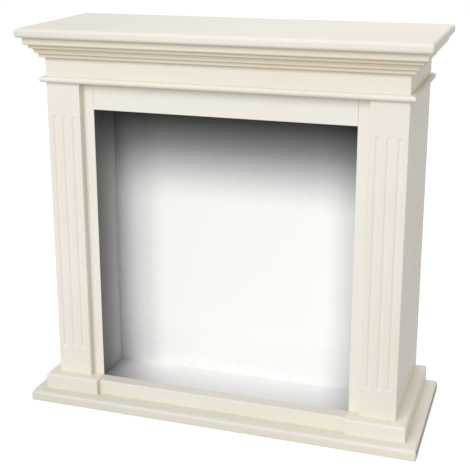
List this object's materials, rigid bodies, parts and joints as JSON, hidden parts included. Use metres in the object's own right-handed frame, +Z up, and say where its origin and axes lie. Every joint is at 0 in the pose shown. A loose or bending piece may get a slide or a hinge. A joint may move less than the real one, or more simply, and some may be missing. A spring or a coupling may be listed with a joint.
{
  "type": "miniature fireplace mantel",
  "caption": "Dolls' house fireplace surround: fluted pilasters on plinths, stepped crown under a deep shelf, base slab and a lined square firebox open to the room.",
  "frame": {"origin": "on the surface that the mantel stands on, at the middle of the overall width and depth", "axes": "+X to the right as seen from the room, -Y towards the room, +Y towards the wall behind, +Z up"},
  "size_m": [0.1064, 0.041, 0.1028],
  "materials": {
    "cream_paint": "satin cream paint over smooth sanded wood",
    "soot_paint": "matt grey-white paint, airbrushed darker towards the top and the left",
    "bare_wood": "bare sanded softwood"
  },
  "bodies": {
    "root": {"astragal_front": "cream_paint", "astragal_return_left": "cream_paint", "astragal_return_right": "cream_paint", "base_slab": "cream_paint", "bed_mould_front": "cream_paint", "bed_mould_return_left": "cream_paint", "bed_mould_return_right": "cream_paint", "corner_batten_left": "bare_wood", "corner_batten_right": "bare_wood", "crown_strip_front": "cream_paint", "crown_strip_return_left": "cream_paint", "crown_strip_return_right": "cream_paint", "fireback": "soot_paint", "firebox_ceiling": "soot_paint", "firebox_cheek_left": "soot_paint", "firebox_cheek_right": "soot_paint", "frieze_board": "cream_paint", "header": "cream_paint", "hearth_bearer_left": "bare_wood", "hearth_bearer_right": "bare_wood", "hearth_board": "soot_paint", "hearth_rail": "cream_paint", "pilaster_left": "cream_paint", "pilaster_right": "cream_paint", "plinth_block_left": "cream_paint", "plinth_block_right": "cream_paint", "plinth_return_left": "cream_paint", "plinth_return_right": "cream_paint", "rear_top_rail": "bare_wood", "shelf": "cream_paint", "shelf_cleat_left": "bare_wood", "shelf_cleat_right": "bare_wood", "side_panel_left": "cream_paint", "side_panel_right": "cream_paint", "stile_left": "cream_paint", "stile_right": "cream_paint"}
  },
  "joints": []
}
